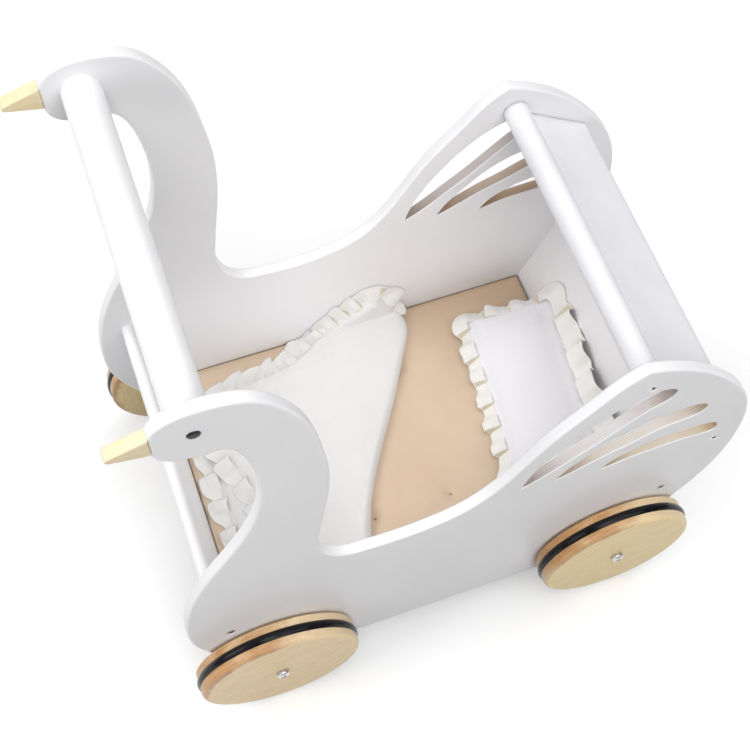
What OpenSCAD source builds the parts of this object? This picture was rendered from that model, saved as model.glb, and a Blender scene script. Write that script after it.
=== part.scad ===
// Doll pram with two identical swan-shaped side panels.
// Millimetres, +Z up, origin under the middle of the pram on the floor.
// The beaks and the handle are at -X, the raised tail and the hood are at +X.

/* [Body] */
// Width over the outer faces of the two side panels
body_width = 280; // [240:1:320]
// Thickness of the side panels and of the end walls
board = 10; // [8:0.5:15]
// Thickness of the floor board of the tub
floor_board_t = 6; // [4:0.5:9]
// Height of the top of the floor board above the ground
floor_top = 84; // [75:1:95]
// Depth of the grooves that hold the floor board
groove = 4; // [3:0.5:6]
// Height of the top edge of the wall at the handle end
foot_wall_top = 218; // [190:1:225]
// Outward lean of the wall at the handle end, in degrees
foot_wall_lean = 6.2; // [0:0.1:10]
// Height of the top edge of the wall at the tail end
tail_wall_top = 241; // [215:1:246]
// Outward lean of the wall at the tail end, in degrees
tail_wall_lean = 21.9; // [15:0.1:26]

/* [Wheels] */
// Diameter of the wooden wheel disc
wheel_d = 143; // [120:1:150]
// Thickness of the wheel disc
wheel_t = 22.3; // [18:0.1:25]
// Free space between side panel and wheel disc
wheel_gap = 2.6; // [2:0.1:5]
// Distance between the front and rear axles
wheelbase = 321.3; // [300:0.1:340]
// Shift of the wheels along the pram from the middle of its length
wheel_shift = -10.55; // [-15:0.05:-5]
// Section diameter of the rubber ring on each wheel
ring_d = 9.5; // [6:0.5:11]
// How far the rubber ring stands out of the disc
ring_proud = 1.8; // [1:0.1:3]
// Distance from the disc's inner face to the middle of the rubber ring
ring_seat = 10.7; // [9:0.1:13]
// Diameter of the wheel screws
axle_d = 6; // [5:0.5:8]

/* [Handle and rails] */
// Diameter of the push handle
handle_d = 28; // [22:1:34]
// Diameter of the dowel that carries the front of the hood
dowel_d = 18; // [14:1:22]
// Diameter of the rail under the shoulder of the hood
rail_d = 16; // [12:1:20]
// Thickness of the hood cloth
cloth = 1.2; // [0.8:0.1:2]

/* [Bedding] */
// Thickness of the mattress
mattress_t = 22; // [15:1:25]
// Width of the pillow along the pram
pillow_w = 84; // [60:1:90]
// Length of the pillow across the pram
pillow_l = 172; // [120:1:200]
// Thickness of the pillow
pillow_t = 24; // [15:1:30]

/* [Hidden] */

eps = 0.05;
out_y = body_width / 2;
in_y = out_y - board;
axle_z = wheel_d / 2 + ring_proud;
front_x = wheel_shift - wheelbase / 2;
rear_x = wheel_shift + wheelbase / 2;

// Handle axis, dowel axis and rail axis, seen from the side
handle_x = -192;
handle_z = 523.5;
dowel_x = 137.5;
dowel_z = 371;
rail_x = 198.5;
rail_z = 321;
rail_seat = 5;

// Middle planes of the two end walls at the underside of the floor board
wall_foot_z = floor_top - floor_board_t;
foot_wall_x = -195.65;
tail_wall_x = 163.9;
foot_wall_h = (foot_wall_top - wall_foot_z) / cos(foot_wall_lean);
tail_wall_h = (tail_wall_top - wall_foot_z) / cos(tail_wall_lean);
foot_screw_h = [21, 71];
tail_screw_h = [73.5, 160];

// Swan outline, clockwise from the root of the beak: x, z, heading in, heading out.
// Between two of these the edge is a smooth curve that leaves and arrives on the headings.
swan = [
    [-218.5, 533, 90, 78],
    [-190.5, 550.3, 2, 2],
    [-142.5, 530, -54, -54],
    [-113.5, 441, -82, -82],
    [-122.5, 290, -96, -96],
    [-92.5, 237, -6, -6],
    [-20.5, 240, 14, 14],
    [55.5, 321, 58, 58],
    [99.5, 375, 52, 52],
    [129.5, 400.5, 30, -20],
    [200.5, 350, -49, -49],
    [246.5, 241, -88, -88],
    [204.5, 103, -126, -126],
    [106.5, 36, -180, -180],
    [-120.5, 36, -180, -180],
    [-216.5, 94, -244, -244],
    [-237.5, 164, -269, -269],
    [-195.5, 305, -301, -301],
    [-161.5, 449, -262, -262],
    [-185.5, 490.5, -160, -160],
    [-199, 493, -182, -182],
    [-218.5, 511, -270, -270]
];

// The three feather slots of the wing, from their pointed ends
feather_1 = [
    [45.5, 255.5, 206, 78],
    [73.5, 312, 52, 52],
    [136.5, 360, 17, 17],
    [161.5, 348.5, -100, -100],
    [138.5, 329, -140, -140],
    [92.5, 289, -143, -143]
];
feather_2 = [
    [75.5, 249, 200, 68],
    [107.5, 287, 43, 43],
    [173.5, 312.5, 2, 2],
    [199, 300, -98, -98],
    [168.5, 288, -170, -170],
    [128.5, 272.5, -162, -162]
];
feather_3 = [
    [116.5, 240, 189, 60],
    [135.5, 257.5, 26, 26],
    [178.5, 266.5, 1, 1],
    [219.5, 251, -92, -92],
    [188.5, 247.5, -180, -180],
    [148.5, 246, -178, -178]
];

function way(a) = [cos(a), sin(a)];
function at(p) = [p[0], p[1]];

// One smooth piece of edge from knot a to knot b, without b itself
function bend(a, b, n) =
    let (
        p0 = at(a),
        p3 = at(b),
        reach = 0.37 * norm(p3 - p0),
        p1 = p0 + reach * way(a[3]),
        p2 = p3 - reach * way(b[2])
    )
    [for (i = [0 : n - 1])
        let (t = i / n, s = 1 - t)
        s * s * s * p0 + 3 * s * s * t * p1 + 3 * s * t * t * p2 + t * t * t * p3];

function edge(knots, n) =
    [for (k = [0 : len(knots) - 1])
        each bend(knots[k], knots[(k + 1) % len(knots)], n)];

// Knots of the straight belly and of the beak's seat need no points between them
function swan_edge(n) =
    [for (k = [0 : len(swan) - 1])
        each bend(swan[k], swan[(k + 1) % len(swan)], (k == 13 || k == 21) ? 1 : n)];

// A flat shape drawn in X and Z, t thick, standing with its near face at y
module upright(y, t) {
    translate([0, y + t, 0])
    rotate([90, 0, 0])
    linear_extrude(t)
    children();
}

// A round bar or hole across the pram from y0 to y1
module across(x, z, d, y0, y1, fn = 48) {
    translate([x, y1, z])
    rotate([90, 0, 0])
    cylinder(d = d, h = y1 - y0, $fn = fn);
}

// Points of the middle plane of each end wall, h up from its foot
function foot_pt(h) = [foot_wall_x - h * sin(foot_wall_lean), wall_foot_z + h * cos(foot_wall_lean)];
function tail_pt(h) = [tail_wall_x + h * sin(tail_wall_lean), wall_foot_z + h * cos(tail_wall_lean)];
wall_screw_pts = concat([for (h = foot_screw_h) foot_pt(h)], [for (h = tail_screw_h) tail_pt(h)]);

// Countersunk screw on the near side, or its hole when grow is above 0
module sunk_screw(x, z, long, grow = 0) {
    across(x, z, 4 + grow, -out_y + 0.2, -out_y + long + grow, 24);
    translate([x, -out_y, z])
    rotate([-90, 0, 0])
    cylinder(d1 = 8 + grow, d2 = 4 + grow, h = 2.4, $fn = 24);
}

module panel_near() {
    difference() {
        upright(-out_y, board) polygon(swan_edge(8));
        upright(-out_y - 1, board + 2) polygon(edge(feather_1, 6));
        upright(-out_y - 1, board + 2) polygon(edge(feather_2, 6));
        upright(-out_y - 1, board + 2) polygon(edge(feather_3, 6));
        // groove of the floor board
        translate([-190.6, -in_y - groove, wall_foot_z - 0.1])
        cube([349.6, groove + 1, floor_board_t + 0.2]);
        // blind seat of the hood rail
        across(rail_x, rail_z, rail_d + 0.1, -in_y - rail_seat, -in_y + 1);
        // handle screw and its cap
        across(handle_x, handle_z, 5.1, -out_y - 1, -in_y + 1, 24);
        across(handle_x, handle_z, 9.1, -out_y - 1, -out_y + 5, 32);
        // wheel bushes
        for (x = [front_x, rear_x]) across(x, axle_z, 9.1, -out_y - 1, -in_y + 1, 32);
        // countersunk screws
        for (p = wall_screw_pts) sunk_screw(p[0], p[1], board + 1, 0.1);
        sunk_screw(dowel_x, dowel_z, board + 1, 0.1);
    }
}

module near_side_panel() {
    color([0.95, 0.95, 0.94]) panel_near();
}

module far_side_panel() {
    color([0.95, 0.95, 0.94]) mirror([0, 1, 0]) panel_near();
}

// Flat tapered beak with a rounded tip, as thick as the panel
module beak() {
    root_x = -218.5;
    tip_x = -242.7;
    tip_z = 521.5;
    tip_r = 3;
    upright(-out_y, board)
    polygon(concat(
        [[root_x, 512.5], [root_x, 532.5]],
        [for (a = [112 : 17 : 265]) [tip_x + tip_r * cos(a), tip_z + tip_r * sin(a)]]
    ));
}

module near_beak() {
    color([0.93, 0.85, 0.66]) beak();
}

module far_beak() {
    color([0.93, 0.85, 0.66]) mirror([0, 1, 0]) beak();
}

module both_sides() {
    children();
    mirror([0, 1, 0]) children();
}

// Black caps over the handle screws, which are also the swans' eyes
module eye_caps() {
    color([0.06, 0.06, 0.07])
    both_sides()
    translate([handle_x, -out_y + 1.4, handle_z])
    rotate([90, 0, 0])
    rotate_extrude($fn = 32)
    polygon([[0, 0], [4.5, 0], [4.5, 1.4], [4.0, 2.0], [2.6, 2.4], [0, 2.5]]);
}

module handle_bar() {
    color([0.96, 0.96, 0.95])
    difference() {
        across(handle_x, handle_z, handle_d, -in_y, in_y, 64);
        both_sides() across(handle_x, handle_z, 5.1, -in_y - 1, -in_y + 31, 24);
    }
}

module handle_screws() {
    color([0.75, 0.75, 0.77])
    both_sides() {
        across(handle_x, handle_z, 5, -out_y + 2, -in_y + 30, 24);
        across(handle_x, handle_z, 9, -out_y + 1.5, -out_y + 4.9, 32);
    }
}

// End wall with a rounded top edge, standing on its foot
module end_wall(x, lean, h, screws) {
    difference() {
        translate([x, 0, wall_foot_z])
        rotate([0, lean, 0])
        union() {
            translate([-board / 2, -in_y, 0])
            cube([board, 2 * in_y, h - board / 2]);
            translate([0, in_y, h - board / 2])
            rotate([90, 0, 0])
            cylinder(d = board, h = 2 * in_y, $fn = 48);
        }
        for (p = screws) both_sides() across(p[0], p[1], 4.1, -in_y - 1, -in_y + 26, 24);
    }
}

module foot_wall() {
    color([0.95, 0.95, 0.94])
    end_wall(foot_wall_x, -foot_wall_lean, foot_wall_h, [for (h = foot_screw_h) foot_pt(h)]);
}

module tail_wall() {
    color([0.95, 0.95, 0.94])
    end_wall(tail_wall_x, tail_wall_lean, tail_wall_h, [for (h = tail_screw_h) tail_pt(h)]);
}

module floor_board() {
    color([0.93, 0.93, 0.91])
    translate([-190.4, -in_y - groove + 0.1, wall_foot_z])
    cube([349.2, 2 * (in_y + groove - 0.1), floor_board_t]);
}

module wall_screws() {
    color([0.75, 0.75, 0.77])
    both_sides()
    for (p = wall_screw_pts) sunk_screw(p[0], p[1], 34);
}

module hood_dowel() {
    color([0.96, 0.96, 0.95])
    difference() {
        across(dowel_x, dowel_z, dowel_d, -in_y, in_y);
        both_sides() across(dowel_x, dowel_z, 4.1, -in_y - 1, -in_y + 26, 24);
    }
}

module hood_rail() {
    color([0.96, 0.96, 0.95])
    across(rail_x, rail_z, rail_d, -in_y - rail_seat + 0.1, in_y + rail_seat - 0.1);
}

module hood_screws() {
    color([0.75, 0.75, 0.77])
    both_sides() sunk_screw(dowel_x, dowel_z, 34);
}

// The hood: a pocket round the dowel, then a sheet over the rail and down the tail wall
module hood_cloth() {
    pocket_r = dowel_d / 2 + 0.3;
    over_r = rail_d / 2 + 0.3;
    top_r = board / 2 + 0.3;
    // underside of the sheet: start at the pocket, round the rail, round the wall's top edge,
    // then down the wall's outer face
    top_c = tail_pt(tail_wall_h - board / 2);
    to_wall = top_c - [rail_x, rail_z];
    turn_a = 58;
    turn_b = atan2(to_wall[0], -to_wall[1]) - asin((over_r - top_r) / norm(to_wall));
    low_pt = tail_pt(tail_wall_h - 24) + top_r * way(-tail_wall_lean);
    arc = [for (k = [0 : 4]) turn_a + (turn_b - turn_a) * k / 4];
    top_arc = [for (k = [0 : 4]) turn_b - (turn_b + tail_wall_lean) * k / 4];
    under = concat(
        [[dowel_x + (pocket_r + 0.2) * cos(-49), dowel_z + (pocket_r + 0.2) * sin(-49) - 0.6]],
        [for (a = arc) [rail_x + over_r * cos(a), rail_z + over_r * sin(a)]],
        [for (a = top_arc) top_c + top_r * way(a)],
        [low_pt]
    );
    over = concat(
        [[dowel_x + (pocket_r + 0.6) * cos(-38), dowel_z + (pocket_r + 0.6) * sin(-38)]],
        [for (a = arc) [rail_x + (over_r + cloth) * cos(a), rail_z + (over_r + cloth) * sin(a)]],
        [for (a = top_arc) top_c + (top_r + cloth) * way(a)],
        [low_pt + cloth * way(-tail_wall_lean)]
    );
    color([0.97, 0.97, 0.95])
    upright(-in_y + 1.5, 2 * in_y - 3)
    union() {
        difference() {
            translate([dowel_x, dowel_z]) circle(r = pocket_r + cloth, $fn = 40);
            translate([dowel_x, dowel_z]) circle(r = pocket_r, $fn = 40);
        }
        polygon(concat(under, [for (i = [len(over) - 1 : -1 : 0]) over[i]]));
    }
}

module mattress() {
    color([0.88, 0.78, 0.66])
    upright(-in_y + 0.7, 2 * in_y - 1.4)
    polygon([
        [-190, floor_top + 3],
        [-188, floor_top + 0.4],
        [157, floor_top + 0.4],
        [160.6, floor_top + 3],
        [167, floor_top + mattress_t - 3],
        [165, floor_top + mattress_t + 0.6],
        [-190, floor_top + mattress_t + 0.6],
        [-192.6, floor_top + mattress_t - 3]
    ]);
}

// Pillow, propped against the sloping tail wall
module pillow() {
    color([0.96, 0.95, 0.90])
    translate([126.5, -4, floor_top + mattress_t + 20.4])
    rotate([0, -9, -5])
    hull()
    for (sx = [-1, 1], sy = [-1, 1])
        translate([sx * (pillow_w / 2 - 9), sy * (pillow_l / 2 - 9), 0]) {
            cylinder(d = 10, h = pillow_t, center = true, $fn = 20);
            cylinder(d = 18, h = pillow_t / 3, center = true, $fn = 20);
        }
}

// Blanket over the handle end of the mattress, with one slanting folded edge
module blanket() {
    color([0.96, 0.95, 0.90])
    translate([0, 0, floor_top + mattress_t + 1])
    linear_extrude(8)
    polygon([
        [-186, -124],
        [-186, 74],
        [-160, 101],
        [-85, 118],
        [-20, 125],
        [48, 125],
        [50, 104],
        [-62, -90],
        [-78, -124]
    ]);
}

// Wooden wheel disc with a groove for the rubber ring
module wheel_disc(x, y_in, side) {
    r = wheel_d / 2;
    soft = 3;
    difference() {
        translate([x, y_in, axle_z])
        rotate([side * -90, 0, 0])
        rotate_extrude($fn = 96)
        polygon(concat(
            [[axle_d / 2 + 0.06, 0], [r - 1, 0], [r, 1]],
            [for (a = [0 : 15 : 90]) [r - soft + soft * cos(a), wheel_t - soft + soft * sin(a)]],
            [[axle_d / 2 + 0.06, wheel_t]]
        ));
        tyre_ring(x, y_in, side, 0.1);
    }
}

module tyre_ring(x, y_in, side, grow = 0) {
    translate([x, y_in + side * ring_seat, axle_z])
    rotate([90, 0, 0])
    rotate_extrude($fn = 96)
    translate([wheel_d / 2 + ring_proud - ring_d / 2, 0])
    circle(d = ring_d + grow, $fn = 24);
}

wheel_y = out_y + wheel_gap;

module front_near_wheel() {
    color([0.86, 0.74, 0.55]) wheel_disc(front_x, -wheel_y, -1);
}

module front_far_wheel() {
    color([0.86, 0.74, 0.55]) wheel_disc(front_x, wheel_y, 1);
}

module rear_near_wheel() {
    color([0.86, 0.74, 0.55]) wheel_disc(rear_x, -wheel_y, -1);
}

module rear_far_wheel() {
    color([0.86, 0.74, 0.55]) wheel_disc(rear_x, wheel_y, 1);
}

module front_near_tyre() {
    color([0.05, 0.05, 0.05]) tyre_ring(front_x, -wheel_y, -1);
}

module front_far_tyre() {
    color([0.05, 0.05, 0.05]) tyre_ring(front_x, wheel_y, 1);
}

module rear_near_tyre() {
    color([0.05, 0.05, 0.05]) tyre_ring(rear_x, -wheel_y, -1);
}

module rear_far_tyre() {
    color([0.05, 0.05, 0.05]) tyre_ring(rear_x, wheel_y, 1);
}

// Pan-head screw with a cross recess; each wheel turns on its shank
module wheel_screw(x) {
    head_y = -wheel_y - wheel_t - 0.3;
    difference() {
        union() {
            across(x, axle_z, axle_d, head_y - 1, -in_y - 1);
            translate([x, head_y, axle_z])
            rotate([90, 0, 0])
            rotate_extrude($fn = 48)
            polygon([[0, 0], [6, 0], [6, 1.9], [5.6, 3.1], [4.4, 4.1], [2.4, 4.6], [0, 4.7]]);
        }
        for (a = [0, 90])
            translate([x, head_y - 4, axle_z])
            rotate([0, a + 20, 0])
            cube([5.4, 2.6, 1.1], center = true);
    }
}

module wheel_screws() {
    color([0.78, 0.78, 0.80])
    both_sides()
    for (x = [front_x, rear_x]) wheel_screw(x);
}

module wheel_washers() {
    color([0.78, 0.78, 0.80])
    both_sides()
    for (x = [front_x, rear_x])
        difference() {
            across(x, axle_z, 18, -out_y - 2.2, -out_y - 0.2);
            across(x, axle_z, axle_d + 0.4, -out_y - 3, -out_y);
        }
}

module wheel_bushes() {
    color([0.80, 0.68, 0.38])
    both_sides()
    for (x = [front_x, rear_x])
        difference() {
            across(x, axle_z, 9, -out_y + 0.1, -in_y - 0.1, 32);
            across(x, axle_z, axle_d + 0.1, -out_y - 1, -in_y + 1, 32);
        }
}

near_side_panel();
far_side_panel();
near_beak();
far_beak();
eye_caps();
handle_bar();
handle_screws();
foot_wall();
tail_wall();
floor_board();
wall_screws();
hood_dowel();
hood_rail();
hood_screws();
hood_cloth();
mattress();
pillow();
blanket();
front_near_wheel();
front_far_wheel();
rear_near_wheel();
rear_far_wheel();
front_near_tyre();
front_far_tyre();
rear_near_tyre();
rear_far_tyre();
wheel_screws();
wheel_washers();
wheel_bushes();
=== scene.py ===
import bpy
import bmesh
import math
import random
from mathutils import Vector, Matrix, geometry, noise


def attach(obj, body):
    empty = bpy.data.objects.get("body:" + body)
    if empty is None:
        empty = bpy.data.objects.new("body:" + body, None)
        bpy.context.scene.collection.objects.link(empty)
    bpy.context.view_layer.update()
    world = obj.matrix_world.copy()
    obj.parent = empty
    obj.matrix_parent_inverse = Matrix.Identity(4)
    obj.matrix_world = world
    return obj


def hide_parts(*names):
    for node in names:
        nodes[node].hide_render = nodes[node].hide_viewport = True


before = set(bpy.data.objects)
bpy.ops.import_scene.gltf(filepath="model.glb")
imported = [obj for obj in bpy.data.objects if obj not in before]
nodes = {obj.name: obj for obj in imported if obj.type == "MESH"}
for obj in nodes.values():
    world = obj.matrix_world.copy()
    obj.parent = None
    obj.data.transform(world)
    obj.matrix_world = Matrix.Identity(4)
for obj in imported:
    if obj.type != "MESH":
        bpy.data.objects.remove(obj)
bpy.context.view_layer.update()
scene = bpy.context.scene
MM = 0.001


def vec(*a):
    return Vector(a)


# ---------------------------------------------------------------- camera
cam_data = bpy.data.cameras.new("camera")
cam_data.sensor_width = 36.0
cam_data.lens = 65.23
cam_data.shift_x = -0.0722
cam_data.shift_y = 0.0287
cam_data.clip_start = 0.05
cam_data.clip_end = 60.0
cam = bpy.data.objects.new("camera", cam_data)
cam.location = (-0.2099, -0.4955, 1.2470)
cam.rotation_euler = [math.radians(a) for a in (26.899, -2.379, -20.499)]
scene.collection.objects.link(cam)
scene.camera = cam
scene.view_settings.view_transform = "Standard"


# ---------------------------------------------------------------- materials
class Mat:
    """A small helper round one procedural material."""

    def __init__(self, name, rough=0.5, **socket):
        self.m = bpy.data.materials.new(name)
        self.m.use_nodes = True
        self.t = self.m.node_tree
        self.b = self.t.nodes["Principled BSDF"]
        self.b.inputs["Roughness"].default_value = rough
        for k, v in socket.items():
            self.b.inputs[k.replace("_", " ")].default_value = v
        self.coord = self.t.nodes.new("ShaderNodeTexCoord").outputs["Object"]
        self.bumps = None

    def node(self, kind, **kw):
        """A new node; each keyword sets the socket of that name, or else the setting."""
        n = self.t.nodes.new(kind)
        for k, v in kw.items():
            if k in n.inputs:
                n.inputs[k].default_value = v
            else:
                setattr(n, k, v)
        return n

    def link(self, a, b):
        self.t.links.new(a, b)

    def placed(self, n, vector):
        """Feeds a node the given coordinates, or the object's own."""
        self.link(self.coord if vector is None else vector, n.inputs["Vector"])
        return n

    def mapped(self, scale=(1, 1, 1), rot=(0, 0, 0), loc=(0, 0, 0), vector=None):
        n = self.node("ShaderNodeMapping", Scale=scale, Rotation=rot, Location=loc)
        return self.placed(n, vector).outputs[0]

    def noise(self, scale, detail=3.0, vector=None, rough=0.55, distort=0.0):
        n = self.node("ShaderNodeTexNoise", Scale=scale, Detail=detail, Roughness=rough, Distortion=distort)
        return self.placed(n, vector).outputs["Fac"]

    def wave(self, scale, direction="X", distort=0.0, dscale=1.0, vector=None):
        n = self.node("ShaderNodeTexWave", wave_type="BANDS", bands_direction=direction, Scale=scale,
                      Distortion=distort, Detail=2.0)
        n.inputs["Detail Scale"].default_value = dscale
        return self.placed(n, vector).outputs["Fac"]

    def ramp(self, fac, stops):
        n = self.node("ShaderNodeValToRGB")
        e = n.color_ramp.elements
        while len(e) < len(stops):
            e.new(0.5)
        for el, (p, c) in zip(e, stops):
            el.position = p
            el.color = (c[0], c[1], c[2], 1.0)
        self.link(fac, n.inputs["Fac"])
        return n.outputs["Color"]

    def math(self, op, a, b=None):
        n = self.node("ShaderNodeMath", operation=op)
        for k, v in ((0, a), (1, b)):
            if v is None:
                continue
            if isinstance(v, (int, float)):
                n.inputs[k].default_value = v
            else:
                self.link(v, n.inputs[k])
        return n.outputs[0]

    def mix(self, fac, a, b):
        n = self.node("ShaderNodeMix", data_type="RGBA")
        for s, v in ((n.inputs[0], fac), (n.inputs[6], a), (n.inputs[7], b)):
            if isinstance(v, (int, float)):
                s.default_value = v
            elif isinstance(v, tuple):
                s.default_value = (v[0], v[1], v[2], 1.0)
            else:
                self.link(v, s)
        return n.outputs[2]

    def colour(self, c):
        self.link(c, self.b.inputs["Base Color"])

    def rough(self, fac, lo, hi):
        n = self.node("ShaderNodeMapRange", **{"To Min": lo, "To Max": hi})
        self.link(fac, n.inputs["Value"])
        self.link(n.outputs[0], self.b.inputs["Roughness"])

    def bump(self, height, strength, distance):
        n = self.node("ShaderNodeBump", Strength=strength, Distance=distance)
        self.link(height, n.inputs["Height"])
        if self.bumps is not None:
            self.link(self.bumps, n.inputs["Normal"])
        self.bumps = n.outputs[0]
        self.link(self.bumps, self.b.inputs["Normal"])


def make_paint():
    p = Mat("white_satin_paint", 0.4, Specular_IOR_Level=0.45, Coat_Weight=0.08, Coat_Roughness=0.25)
    tone = p.noise(9.0, 3.0)
    p.colour(p.ramp(tone, [(0.35, (0.875, 0.87, 0.885)), (0.65, (0.90, 0.895, 0.91))]))
    p.rough(p.noise(60.0, 4.0), 0.34, 0.5)
    fine = p.noise(1400.0, 2.0)
    p.bump(fine, 0.10, 0.00008)
    grain = p.noise(30.0, 4.0, vector=p.mapped(scale=(1.2, 1.2, 14.0), rot=(0, 0.35, 0)))
    p.bump(grain, 0.05, 0.0003)
    return p.m


def tinted(colour, *by):
    """The colour scaled by one factor, or by one for each channel."""
    by = by * 3 if len(by) == 1 else by
    return tuple(v * f for v, f in zip(colour, by))


def make_ply(name, a, b, pale, brown, tone):
    """Wall of a slot that runs from a to b (x, z in mm): thinly painted plies, browner at both tips."""
    p = Mat(name, 0.65, Specular_IOR_Level=0.25)
    d = vec(b[0] - a[0], b[1] - a[1]) * MM
    d = d / d.length_squared
    n = p.node("ShaderNodeVectorMath", operation="DOT_PRODUCT")
    p.link(p.coord, n.inputs[0])
    n.inputs[1].default_value = (d.x, 0.0, d.y)
    along = p.math("SUBTRACT", n.outputs["Value"], (a[0] * d.x + a[1] * d.y) * MM)
    along = p.math("ADD", along, p.math("MULTIPLY", p.noise(90.0, 3.0), 0.10))
    plies = p.wave(150.0, "Y", distort=1.6, dscale=3.0)
    fibre = p.noise(420.0, 4.0, vector=p.mapped(scale=(0.12, 3.0, 0.12)))
    grey = [(v, v, v) for v in (1.0, 0.8, 0.2, tone, 0.35, 0.9)]
    worn = p.ramp(along, list(zip((0.05, 0.14, 0.34, 0.72, 0.92, 1.03), grey)))
    light = p.mix(0.5, p.ramp(plies, [(0.2, tinted(pale, 0.9)), (0.8, pale)]),
                  p.ramp(fibre, [(0.3, tinted(pale, 0.93, 0.88, 0.84)), (0.7, pale)]))
    dark = p.mix(0.4, p.ramp(plies, [(0.2, tinted(brown, 0.8)), (0.8, tinted(brown, 1.2))]),
                 p.ramp(fibre, [(0.3, tinted(brown, 0.72)), (0.7, tinted(brown, 1.3))]))
    p.colour(p.mix(worn, light, dark))
    p.rough(fibre, 0.55, 0.8)
    p.bump(fibre, 0.3, 0.0002)
    return p.m


def make_wood(name, light, mid, dark, rot=(0, 0, 0), ring=26.0, rough=0.42, loc=(0, 0, 0), cloud=0.35):
    p = Mat(name, rough, Specular_IOR_Level=0.4, Coat_Weight=0.12, Coat_Roughness=0.3)
    v = p.mapped(rot=rot, loc=loc)
    warp = p.noise(16.0, 3.0, vector=p.mapped(scale=(0.5, 1.0, 2.2), vector=v), distort=0.4)
    rings = p.wave(ring, "Z", distort=7.0, dscale=9.0, vector=p.mapped(scale=(0.22, 1.0, 1.0), vector=v))
    fibre = p.noise(95.0, 5.0, vector=p.mapped(scale=(0.28, 4.0, 9.0), vector=v), rough=0.6)
    streak = p.noise(95.0, 4.0, vector=p.mapped(scale=(0.4, 2.0, 2.6), vector=v))
    streak = p.ramp(streak, [(0.45, (0, 0, 0)), (0.8, (0.36, 0.36, 0.36))])
    line = tuple((a + 8 * b) / 9 for a, b in zip(dark, mid))
    base = p.ramp(rings, [(0.0, line), (0.25, mid), (0.6, light), (1.0, light)])
    base = p.mix(p.math("MULTIPLY", fibre, 0.16), base, dark)
    base = p.mix(streak, base, dark)
    p.base = p.mix(p.math("MULTIPLY", warp, cloud), base, mid)
    p.colour(p.base)
    p.rough(fibre, rough - 0.08, rough + 0.14)
    p.bump(fibre, 0.15, 0.00015)
    return p


def make_wheel_wood(name, turn, shift, cx, light, mid, dark, cloud):
    """Pale beech; the rim is browner, most of all on the side that the grain runs out to."""
    p = make_wood(name, light, mid, dark, rot=(0, turn, 0), loc=(shift, shift, shift), rough=0.36, ring=34.0,
                  cloud=cloud)
    xyz = p.node("ShaderNodeSeparateXYZ")
    p.link(p.mapped(loc=(-cx * MM, 0, -AXLE_Z * MM)), xyz.inputs[0])
    x, z = xyz.outputs["X"], xyz.outputs["Z"]
    r = p.math("SQRT", p.math("ADD", p.math("MULTIPLY", x, x), p.math("MULTIPLY", z, z)))
    out = p.math("ADD", p.math("MULTIPLY", x, -0.62 / 0.071), p.math("MULTIPLY", z, 0.55 / 0.071))
    patchy = p.math("MULTIPLY", p.noise(26.0, 4.0, rough=0.7), 0.6)
    side = p.ramp(p.math("ADD", p.math("MULTIPLY", out, 0.5), patchy), [(0.45, (0, 0, 0)), (0.7, (1, 1, 1))])
    edge = p.math("ADD", r, p.math("MULTIPLY", p.noise(38.0, 3.0), 0.004))
    edge = p.math("ADD", edge, p.math("MULTIPLY", side, 0.0062))
    rim = p.ramp(p.math("MULTIPLY", edge, 10.0), [(0.0, (0, 0, 0)), (0.705, (0, 0, 0)), (0.735, (1, 1, 1))])
    fibre = p.noise(60.0, 4.0, vector=p.mapped(scale=(1.0, 9.0, 1.0), vector=p.mapped(rot=(0, turn, 0))))
    pale = p.ramp(fibre, [(0.3, (0.76, 0.58, 0.37)), (0.7, (0.86, 0.68, 0.45))])
    deep = p.ramp(fibre, [(0.3, (0.40, 0.18, 0.06)), (0.7, (0.60, 0.32, 0.13))])
    p.colour(p.mix(p.math("MULTIPLY", rim, 0.9), p.base, p.mix(side, pale, deep)))
    return p.m


def make_speckled(name, scale, low, high, rough, detail=3.0, bump=None, **socket):
    """A nearly plain material: two close shades and a roughness range that follow one noise.
    bump is the scale and detail of a second noise, and the strength and distance that it works with."""
    p = Mat(name, **socket)
    n = p.noise(scale, detail)
    p.colour(p.ramp(n, [(0.3, low), (0.7, high)]))
    p.rough(n, *rough)
    if bump:
        p.bump(p.noise(*bump[:2]), *bump[2:])
    return p.m


def weave(p, pitch, axes, strength, dist):
    """A plain weave in two of the object's axes."""
    k = 1.0 / pitch / 20.0 * math.pi * 2
    a = p.wave(k, axes[0], distort=0.8, dscale=2.0)
    b = p.wave(k, axes[1], distort=0.8, dscale=2.0)
    p.bump(p.math("MULTIPLY", a, b), strength, dist)


def make_cotton():
    p = Mat("white_cotton_weave", 0.85, Specular_IOR_Level=0.2, Sheen_Weight=0.25, Sheen_Roughness=0.5)
    n = p.noise(25.0, 4.0)
    p.colour(p.ramp(n, [(0.3, (0.79, 0.785, 0.82)), (0.7, (0.83, 0.825, 0.855))]))
    slub = p.noise(260.0, 4.0, vector=p.mapped(scale=(1.0, 0.12, 1.0)))
    p.rough(slub, 0.78, 0.95)
    p.bump(slub, 0.25, 0.0002)
    weave(p, 0.0012, ("Y", "Z"), 0.25, 0.0002)
    return p.m


def make_muslin(name, shade, light):
    p = Mat(name, 0.9, Specular_IOR_Level=0.15, Sheen_Weight=0.35, Sheen_Roughness=0.45)
    n = p.noise(14.0, 4.0)
    p.colour(p.ramp(n, [(0.3, shade), (0.7, light)]))
    crinkle = p.noise(170.0, 5.0, vector=p.mapped(scale=(1.0, 0.42, 0.7)), rough=0.62, distort=0.9)
    p.rough(crinkle, 0.8, 0.98)
    p.bump(crinkle, 0.55, 0.0009)
    p.bump(p.noise(900.0, 2.0), 0.18, 0.00025)
    return p.m


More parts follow.
